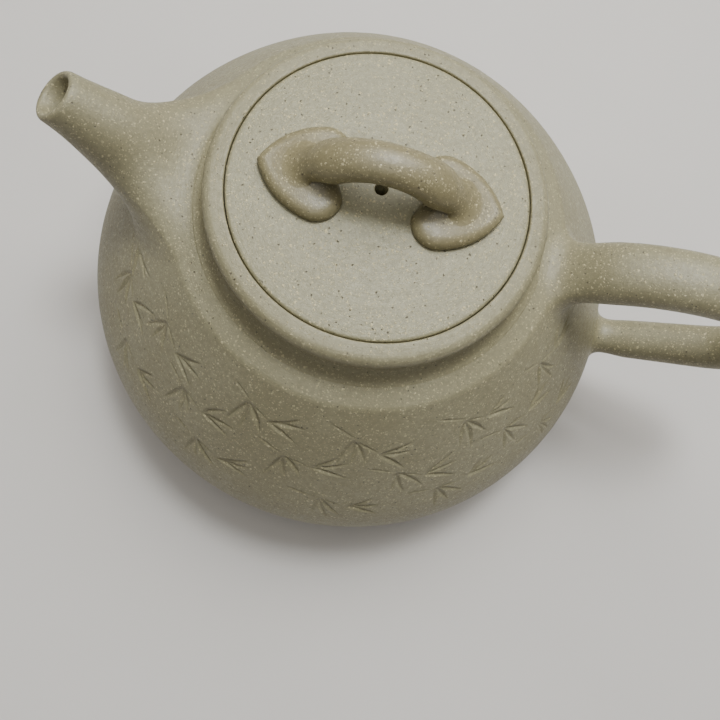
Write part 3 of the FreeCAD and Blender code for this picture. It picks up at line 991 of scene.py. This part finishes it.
@dataclass
class Foot:
    """The low ring that the pot stands on."""

    bevel: float = 0.45
    inner_radius: float = 33.0
    outer_radius: float = field(init=False)
    height: float = field(init=False)

    def __post_init__(self) -> None:
        """Read the ring's outside and height from the frame."""
        _, high = node_box("foot_ring")
        self.outer_radius, self.height = high.x, high.z

    def build(self) -> bpy.types.Object:
        """Turn the ring with softened edges."""
        inner, outer, bevel = self.inner_radius, self.outer_radius, self.bevel
        outline = Outline(inner + bevel, 0.0)
        outline.line(outer - 0.6 - bevel, 0.0, 0.6)
        outline.ease((outer - 0.6, 0.0), outer - 0.45, bevel, 5)
        outline.line(outer, self.height, 0.4)
        outline.line(inner - 0.6, self.height, 1.0)
        outline.line(inner - bevel * 0.3, bevel, 0.5)
        outline.ease((inner, 0.0), inner + bevel, 0.0, 5)
        return turned("foot", outline.points, 288)

    def dress(self, piece: bpy.types.Object) -> None:
        """Unburnished clay, worn pale where it stands."""
        dress(piece, FOOT, "foot_clay", Body.POT, "foot_ring")


# Spout
@dataclass
class SpoutRoot(Root):
    """The spout's wide root, whose sides carry the shoulder's edge on up the spout."""

    neck: float = 30.5
    edge: Point = (34.4, 51.9)
    fall: float = 0.37
    belly_way: Point = (0.58, -0.815)
    spread: float = 33.0
    top_run: float = 4.15
    whole_run: float = 20.5

    def target(self, angle: float, outward: Vector) -> Vector:
        """Walk down from the neck's foot over the shoulder's edge and down the belly."""
        low = (1 - math.cos(angle)) / 2
        run = self.whole_run * low ** (math.log(self.top_run / self.whole_run) / math.log(0.5))
        if run < self.top_run:
            radius = self.neck + (self.edge[0] - self.neck) * run / self.top_run
            up = self.edge[1] + (self.edge[0] - radius) * self.fall
        else:
            radius = self.edge[0] + self.belly_way[0] * (run - self.top_run)
            up = self.edge[1] + self.belly_way[1] * (run - self.top_run)
        aside = math.radians(self.spread) * math.copysign(abs(math.sin(angle)) ** 1.15, math.sin(angle))
        return Vector((-radius * math.cos(aside), radius * math.sin(aside), up))

    def pulls(self, angle: float) -> tuple[float, float]:
        """Turn gently above, run straight out at the sides and turn close underneath."""
        upper = max(math.cos(angle), 0.0) ** 2
        lower = max(-math.cos(angle), 0.0) ** 2
        return 0.25 + 0.24 * upper + 0.28 * lower, 0.36 - 0.08 * upper - 0.20 * lower


@dataclass
class Spout:
    """The short leaning spout, flared at its root so that shoulder and belly run up into it."""

    root: Vector = field(default_factory=lambda: Vector((-38.5, 0.0, 45.5)))
    rise: float = 47.3
    length: float = 22.4
    lip_tilt: float = 2.7
    along: tuple[float, ...] = (-6.0, 0.0, 6.3, 12.6, 19.0, 26.4)
    lift: tuple[float, ...] = (-0.6, 0.0, 0.7, 1.0, 0.6, -0.6)
    radius: tuple[float, ...] = (11.0, 9.6, 7.6, 6.2, 4.9, 4.2)
    bore_lift: tuple[float, ...] = (-1.0, -0.3, 0.4, 0.8, 0.6, -0.6)
    bore_radius: tuple[float, ...] = (5.0, 4.4, 3.9, 3.4, 3.0, 3.9)
    flare_start: float = 12.0
    count: int = 144
    pitch: float = 0.7

    def __post_init__(self) -> None:
        """Work out the axis and the splines through the stations."""
        angle = math.radians(self.rise)
        self.axis = Vector((-math.cos(angle), 0.0, math.sin(angle)))
        self.up = Vector((math.sin(angle), 0.0, math.cos(angle)))
        self.side = Vector((0.0, 1.0, 0.0))
        self.lift_at = Spline(self.along, self.lift)
        self.radius_at = Spline(self.along, self.radius)
        self.bore_lift_at = Spline(self.along, self.bore_lift)
        self.bore_at = Spline(self.along, self.bore_radius)

    def ring(self, place: float, lift: Spline, radius: float, tilt: float = 0.0) -> Ring:
        """Lay one ring round the axis, leaning by the tilt in degrees."""
        centre = self.root + self.axis * place + self.up * lift.at(place)
        lean = math.radians(tilt)
        up = self.up * math.cos(lean) - self.axis * math.sin(lean)
        return oval_ring(centre, up * radius, self.side * radius, self.count)

    def bore_cutter(self) -> bpy.types.Object:
        """Make the cone that opens the wall behind the spout."""
        deselect_all()
        depth = 12.0
        middle = self.root - self.axis * (depth / 2 - 1.5) - self.up * 0.6
        turn = self.axis.to_track_quat("Z", "Y").to_euler()
        bpy.ops.mesh.primitive_cone_add(vertices=64, radius1=5.0 * MM, radius2=4.3 * MM, depth=depth * MM,
                                        location=middle * MM, rotation=turn)
        return bpy.context.object

    def build(self, pot: BVHTree) -> bpy.types.Object:
        """Draw the outside from the flare to the lip, roll it over and run the bore back in.

        Args:
            pot: The pot's skin.

        Returns:
            The spout.
        """
        lip = (self.radius_at.at(self.length) - self.bore_at.at(self.length)) / 2
        last = self.length - lip
        steps = max(4, round((last - self.flare_start) / self.pitch))
        outside = []
        for step in range(steps + 1):
            share = step / steps
            place = self.flare_start + (last - self.flare_start) * share
            tilt = self.lip_tilt * share ** 2
            outside.append(self.ring(place, self.lift_at, self.radius_at.at(place), tilt))
        foot, normal, _, _ = pot.find_nearest(self.root + self.axis * 3.0)
        flare = SpoutRoot(pot, foot, normal, steps=24)
        rings = flare.rings(outside[0], outside[1]) + outside
        middle = self.radius_at.at(self.length) - lip
        for step in range(1, 9):
            turn = math.pi * step / 9
            rings.append(self.ring(last + lip * math.sin(turn), self.lift_at, middle + lip * math.cos(turn),
                                   self.lip_tilt))
        for step in range(13):
            place = last * (1 - step / 12) - 0.5 * step / 12
            rings.append(self.ring(place, self.bore_lift_at, self.bore_at.at(place)))
        return skinned("spout_drawn", rings, closed=True)

    def dress(self, piece: bpy.types.Object) -> None:
        """Burnished clay."""
        dress(piece, SPOUT, "spout_clay", Body.POT, "spout")


# Handle
@dataclass
class Handle:
    """The ear-shaped strap: up off the shoulder, over, and back into the belly."""

    width: float = 11.0
    thickness: float = 8.0
    end_width: float = 8.0
    end_thickness: float = 6.4
    rise_curve: float = 29.2
    rise_turn: float = 33.0
    crest_start: float = 59.5
    crest_end: float = 62.75
    bend: float = 15.0
    bend_turn: float = 148.0
    back_run: float = 13.5
    square: float = 2.15
    upper_root: Vector = field(default_factory=lambda: Vector((38.0, 0.0, 52.3)))
    lower_root: Vector = field(default_factory=lambda: Vector((53.0, 0.0, 23.4)))
    count: int = 80
    top: float = field(init=False)

    def __post_init__(self) -> None:
        """Read the crest's height from the frame."""
        _, high = node_box("handle")
        self.top = high.z - self.thickness / 2 + 0.05

    def way(self) -> list[Point]:
        """Draw the strap's middle line in the XZ plane, between its two flared roots."""
        rise = math.radians(self.rise_turn)
        turn = math.radians(self.bend_turn)
        outline = Outline(self.crest_start - self.rise_curve * math.sin(rise),
                          self.top - self.rise_curve * (1 - math.cos(rise)))
        outline.bow(self.crest_start, self.top, -self.rise_curve, 0.9)
        outline.line(self.crest_end, self.top, 0.9)
        steps = 44
        for step in range(1, steps + 1):
            angle = turn * step / steps
            across = self.crest_end + self.bend * math.sin(angle)
            outline.points.append((across, self.top - self.bend * (1 - math.cos(angle))))
        across, up = outline.points[-1]
        outline.line(across + self.back_run * math.cos(turn), up - self.back_run * math.sin(turn), 0.9)
        return outline.points

    def build(self, pot: BVHTree) -> bpy.types.Object:
        """Sweep the oval along the middle line and flare both roots onto the pot.

        Args:
            pot: The pot's skin.

        Returns:
            The handle.
        """
        line = [Vector((across, 0.0, up)) for across, up in self.way()]
        runs = [0.0]
        for before, after in zip(line, line[1:]):
            runs.append(runs[-1] + (after - before).length)
        rings = []
        for number, centre in enumerate(line):
            before, after = line[max(number - 1, 0)], line[min(number + 1, len(line) - 1)]
            forward = (after - before).normalized()
            outward = Vector((-forward.z, 0.0, forward.x))
            share = runs[number] / runs[-1]
            width = self.width + (self.end_width - self.width) * share
            thickness = self.thickness + (self.end_thickness - self.thickness) * share
            side = Vector((0.0, width / 2, 0.0))
            rings.append(oval_ring(centre, outward * thickness / 2, side, self.count, self.square))
        upper = self.root(pot, self.upper_root, lambda angle: 8.2 + 1.4 * math.sin(angle) ** 2)
        lower = self.root(pot, self.lower_root, lambda angle: 6.0)
        start = upper.rings(rings[0], rings[1])
        end = lower.rings(rings[-1], rings[-2])
        return skinned("handle_strap", start + rings + end[::-1])

    def root(self, pot: BVHTree, near: Vector, reach: Callable[[float], float]) -> Root:
        """Set up a flared root where the middle line meets the pot."""
        foot, normal, _, _ = pot.find_nearest(near)
        return Root(pot, foot, normal, reach, steps=14, leave=0.45, arrive=0.45)

    def dress(self, piece: bpy.types.Object) -> None:
        """Clay polished by hands."""
        dress(piece, HANDLE, "handle_clay", Body.POT, "handle")


# Lid and knob
@dataclass
class Lid:
    """The gently crowned lid with its vent; the flange below it stays the CAD's."""

    crown: float = 1.0
    edge_round: float = 0.6
    vent_radius: float = 1.05
    radius: float = field(init=False)
    seat: float = field(init=False)
    rim: float = field(init=False)

    def __post_init__(self) -> None:
        """Read the lid's radius and heights from the frame."""
        low, high = node_box("lid_plate")
        self.radius, self.seat, self.rim = high.x + 0.07, low.z, high.z - self.crown

    def top_at(self, radius: float) -> float:
        """Give the crown's height at a radius."""
        return self.rim + self.crown * (1 - (radius / self.radius) ** 2)

    def build(self) -> bpy.types.Object:
        """Turn the lid."""
        vent, edge = self.vent_radius, self.edge_round
        outline = Outline(vent, self.seat)
        outline.line(self.radius, self.seat, 2.0)
        outline.line(self.radius, self.rim - edge, 0.8)
        outline.ease((self.radius, self.rim), self.radius - edge, self.top_at(self.radius - edge), 6)
        steps = 26
        for step in range(1, steps + 1):
            radius = self.radius - edge - (self.radius - edge - vent - 0.25) * step / steps
            outline.points.append((radius, self.top_at(radius)))
        outline.ease((vent, self.top_at(vent)), vent, self.top_at(vent) - 0.25, 4)
        outline.line(vent, self.seat, 1.2)
        return turned("lid_turned", outline.points, 288)

    def dress(self, piece: bpy.types.Object) -> None:
        """Fine burnished clay."""
        dress(piece, LID, "lid_clay", Body.LID, "lid_plate")


@dataclass
class KnobLeaf:
    """One heart-shaped leaf of the knob, a soft cushion with raised lobes."""

    lid: Lid
    tip: float = 20.3
    widest: float = 10.4
    half_width: float = 8.1
    back: float = 5.6
    back_half: float = 3.65
    notch: float = 7.2
    side_curve: float = 13.5
    lobe_curve: float = 4.3
    middle: float = 11.4
    edge_round: float = 1.7
    thickness: float = 2.0
    mound: float = 1.7
    mound_place: float = 10.2
    mound_in: float = 2.6
    mound_out: float = 4.2
    mound_side: float = 3.6
    mound_inset: float = 2.6
    skirt: float = 0.42
    rim: float = 0.07
    thinning: float = 0.55

    def outline(self) -> list[Point]:
        """Draw the heart from its tip round one lobe, over the notch and round the other."""
        half = Outline(self.tip, 0.0)
        half.bow(self.widest, self.half_width, self.side_curve, 0.42)
        half.bow(self.back, self.back_half, self.lobe_curve, 0.42)
        half.line(self.notch, 0.0, 0.42)
        other = [(across, -up) for across, up in half.points[1:-1]]
        return half.points + other[::-1]

    def height(self, across: float, up: float, inset: float) -> float:
        """Give the leaf's top above the lid.

        Args:
            across: The place along the knob, from the lid's middle.
            up: The place across the knob.
            inset: How far inside the outline the place is.

        Returns:
            The height in millimetres.
        """
        rise = min(inset / self.edge_round, 1.0)
        dome = self.skirt + (self.thickness - self.skirt) * math.sqrt(1 - (1 - rise) ** 2)
        lobe = math.exp(-((across - 8.6) / 4.2) ** 2) * min(abs(up) / 4.5, 1.0)
        rim = self.rim * lobe * math.exp(-((inset - 2.1) / 1.1) ** 2)
        thin = self.thinning * max((across - 13.0) / (self.tip - 13.0), 0.0) ** 1.5 * rise
        spread = self.mound_out if across > self.mound_place else self.mound_in
        swell = math.exp(-((across - self.mound_place) / spread) ** 2 - (up / self.mound_side) ** 2)
        climb = min(inset / self.mound_inset, 1.0)
        return dome + rim - thin + self.mound * swell * climb * climb * (3 - 2 * climb)

    def build(self, name: str, turn: float) -> bpy.types.Object:
        """Raise the leaf's top ring by ring inside its outline.

        Args:
            name: The piece's name.
            turn: The leaf's bearing on the lid, in degrees.

        Returns:
            The leaf.
        """
        edge = [Vector((*point, 0.0)) for point in self.outline()]
        middle = Vector((self.middle, 0.0, 0.0))
        lines = list(zip(edge, edge[1:] + edge[:1]))
        spin = Matrix.Rotation(math.radians(turn), 3, "Z")
        floor = self.lid.top_at(self.middle)
        under = [middle + (point - middle) * 0.985 for point in edge]
        rings = [[spin @ Vector((*point.xy, floor - 0.5)) for point in under],
                 [spin @ Vector((*point.xy, floor + 0.05)) for point in under],
                 [spin @ Vector((*point.xy, floor + self.skirt)) for point in edge]]
        steps = 26
        for step in range(1, steps):
            scale = 1 - (step / steps) ** 1.6
            ring = []
            for point in edge:
                place = middle + (point - middle) * scale
                inset = min(distance_to(place, start, end) for start, end in lines)
                ring.append(spin @ Vector((place.x, place.y, floor + self.height(place.x, place.y, inset))))
            rings.append(ring)
        return skinned(name, rings)


def distance_to(place: Vector, start: Vector, end: Vector) -> float:
    """Give a place's distance from a straight line between two points."""
    run = end - start
    share = max(0.0, min(1.0, (place - start).dot(run) / run.length_squared))
    return (place - start - run * share).length


@dataclass
class Knob:
    """The bridge and the two leaves that it springs from."""

    lid: Lid
    turn: float = 3.0
    width: float = 6.6
    thickness: float = 5.3
    rise: float = 9.55
    curve: float = 12.4
    free_turn: float = 37.0
    stance: float = 11.6
    count: int = 72

    def leaves(self) -> list[bpy.types.Object]:
        """Build the leaf on each side."""
        leaf = KnobLeaf(self.lid)
        return [leaf.build("leaf_towards_spout", 180.0 + self.turn),
                leaf.build("leaf_towards_handle", self.turn)]

    def bridge(self, ground: BVHTree) -> bpy.types.Object:
        """Bend the bar and flare each end onto its leaf.

        Args:
            ground: The skins of the leaves and the lid.

        Returns:
            The bridge.
        """
        centre = Vector((0.0, 0.0, self.lid.rim + self.rise - self.curve))
        spin = Matrix.Rotation(math.radians(self.turn), 3, "Z")
        steps = 36
        rings = []
        for step in range(steps + 1):
            angle = math.radians(self.free_turn) * (2 * step / steps - 1)
            outward = Vector((math.sin(angle), 0.0, math.cos(angle)))
            place = centre + outward * self.curve
            fuller = 1 + 0.10 * abs(2 * step / steps - 1) ** 2
            side = Vector((0.0, self.width / 2 * fuller, 0.0))
            oval = oval_ring(place, outward * self.thickness / 2 * fuller, side, self.count)
            rings.append([spin @ point for point in oval])
        near, far = (self.root(ground, spin @ Vector((way * self.stance, 0.0, self.lid.rim + 3.0)))
                     for way in (-1, 1))
        ends = near.rings(rings[0], rings[1]), far.rings(rings[-1], rings[-2])[::-1]
        return skinned("knob_arch", ends[0] + rings + ends[1])

    def root(self, ground: BVHTree, near: Vector) -> Root:
        """Set up the flare of one end."""
        foot, _, _, _ = ground.find_nearest(near)
        return Root(ground, foot, Vector((0.0, 0.0, 1.0)), self.reach, steps=16, arrive=0.45, sink=0.04)

    def reach(self, angle: float) -> float:
        """Give how far the flare spreads: long towards the leaf's tip, short under the arch."""
        outer = max(math.cos(angle), 0.0)
        inner = max(-math.cos(angle), 0.0)
        return 4.7 + 0.9 * outer ** 1.5 - 2.3 * inner ** 1.5

    def dress(self, bridge: bpy.types.Object, leaves: Sequence[bpy.types.Object]) -> None:
        """Smooth clay, darkened by fingers."""
        dress(bridge, KNOB, "knob_clay", Body.LID, "knob_bridge")
        dress(leaves[0], KNOB, "knob_clay", Body.LID, "knob_leaf_left")
        dress(leaves[1], KNOB, "knob_clay", Body.LID, "knob_leaf_right")


# Studio
@dataclass(frozen=True)
class Softbox:
    """One soft studio light, aimed at the pot. Places and sizes are millimetres."""

    name: str
    place: tuple[float, float, float]
    width: float
    height: float
    power: float
    colour: Colour = (1.0, 1.0, 1.0)

    def set_up(self, aim: Vector) -> None:
        """Make the light."""
        light = bpy.data.lights.new(self.name, "AREA")
        light.shape = "RECTANGLE"
        light.size, light.size_y = self.width * MM, self.height * MM
        light.energy = self.power
        light.color = self.colour
        lamp = bpy.data.objects.new(self.name, light)
        bpy.context.scene.collection.objects.link(lamp)
        lamp.location = Vector(self.place) * MM
        lamp.rotation_mode = "QUATERNION"
        lamp.rotation_quaternion = (aim * MM - lamp.location).to_track_quat("-Z", "Y")


@dataclass
class Studio:
    """A pale floor, soft light and the camera that looks down on the pot."""

    camera_place: Vector = field(default_factory=lambda: Vector((-2.15, -53.63, 174.38)))
    camera_aim: Vector = field(default_factory=lambda: Vector((3.777, -27.788, 61.3)))
    camera_roll: float = 28.13
    lens: float = 37.84
    sensor: float = 36.0
    floor_size: float = 6000.0
    air: float = 0.04
    wall: float = 0.42
    lights: tuple[Softbox, ...] = (
        Softbox("window", (70.0, 330.0, 580.0), 560.0, 420.0, 4.3, (0.97, 0.985, 1.0)),
        Softbox("skylight", (20.0, 158.0, 610.0), 130.0, 130.0, 1.9, (0.90, 0.955, 1.0)),
        Softbox("doorway", (10.0, -350.0, 600.0), 150.0, 150.0, 0.35, (0.92, 0.965, 1.0)),
        Softbox("ceiling", (-80.0, -20.0, 640.0), 300.0, 300.0, 0.7, (1.0, 0.98, 0.94)),
        Softbox("room", (0.0, 0.0, 3000.0), 5200.0, 5200.0, 24.0, (0.97, 0.98, 1.0)),
        Softbox("side_window", (620.0, 160.0, 260.0), 300.0, 300.0, 0.08, (0.90, 0.95, 1.0)),
    )

    def build(self) -> None:
        """Make the floor, the air's light, the lamps and the camera."""
        deselect_all()
        bpy.ops.mesh.primitive_grid_add(x_subdivisions=8, y_subdivisions=8, size=self.floor_size * MM,
                                        location=(0.0, 0.0, -0.02 * MM))
        floor = named(bpy.context.object, "studio_floor")
        floor.data.materials.append(Backdrop().make())
        self.surroundings()
        aim = Vector((0.0, 0.0, 35.0))
        for light in self.lights:
            light.set_up(aim)
        self.camera()

    def surroundings(self) -> None:
        """Make the air a weak light that looks like a pale wall to the camera."""
        world = bpy.context.scene.world or bpy.data.worlds.new("air")
        bpy.context.scene.world = world
        world.use_nodes = True
        graph = Graph(world.node_tree)
        background = world.node_tree.nodes["Background"]
        background.inputs["Color"].default_value = (0.93, 0.94, 0.97, 1.0)
        seen = graph.put("LightPath").outputs["Is Camera Ray"]
        strength = graph.put("MapRange", Value=seen)
        strength.inputs["To Min"].default_value = self.air
        strength.inputs["To Max"].default_value = self.wall
        graph.feed(background.inputs["Strength"], strength.outputs["Result"])

    def camera(self) -> None:
        """Place the camera, rolled as a hand-held one is."""
        data = bpy.data.cameras.new("camera")
        data.lens, data.sensor_width = self.lens, self.sensor
        data.clip_start, data.clip_end = 5 * MM, 20.0
        camera = bpy.data.objects.new("camera", data)
        bpy.context.scene.collection.objects.link(camera)
        forward = (self.camera_aim - self.camera_place).normalized()
        level = forward.cross(Vector((0.0, 0.0, 1.0))).normalized()
        roll = math.radians(self.camera_roll)
        right = level * math.cos(roll) + level.cross(forward) * math.sin(roll)
        up = right.cross(forward)
        matrix = Matrix((right, up, -forward)).transposed().to_4x4()
        matrix.translation = self.camera_place * MM
        camera.matrix_world = matrix
        bpy.context.scene.camera = camera


# Assembly
def build_pot() -> None:
    """Build and dress what stays on the table when the lid is lifted."""
    spout, belly = Spout(), Belly()
    skin = surface_of(turned("plain_skin", belly.section(), steps=240))
    bpy.data.objects.remove(bpy.data.objects["plain_skin"])
    belly.dress(belly.build(spout))
    mouth = Mouth(belly)
    mouth.dress(mouth.neck(), mouth.band())
    foot = Foot()
    foot.dress(foot.build())
    spout.dress(spout.build(skin))
    handle = Handle()
    handle.dress(handle.build(skin))
    dress_node("base_plate", FOOT)
    dress_node("strainer", INSIDE)


def build_lid() -> None:
    """Build and dress the lid, its knob and its flange."""
    lid = Lid()
    plate = lid.build()
    knob = Knob(lid)
    leaves = knob.leaves()
    bridge = knob.bridge(surface_of(plate, *leaves))
    lid.dress(plate)
    knob.dress(bridge, leaves)
    dress_node("lid_flange", INSIDE)


def main() -> None:
    """Build the teapot and the studio round it."""
    logging.basicConfig(level=logging.INFO, format="%(name)s: %(message)s")
    build_pot()
    build_lid()
    Studio().build()


if __name__ == "__main__":
    main()
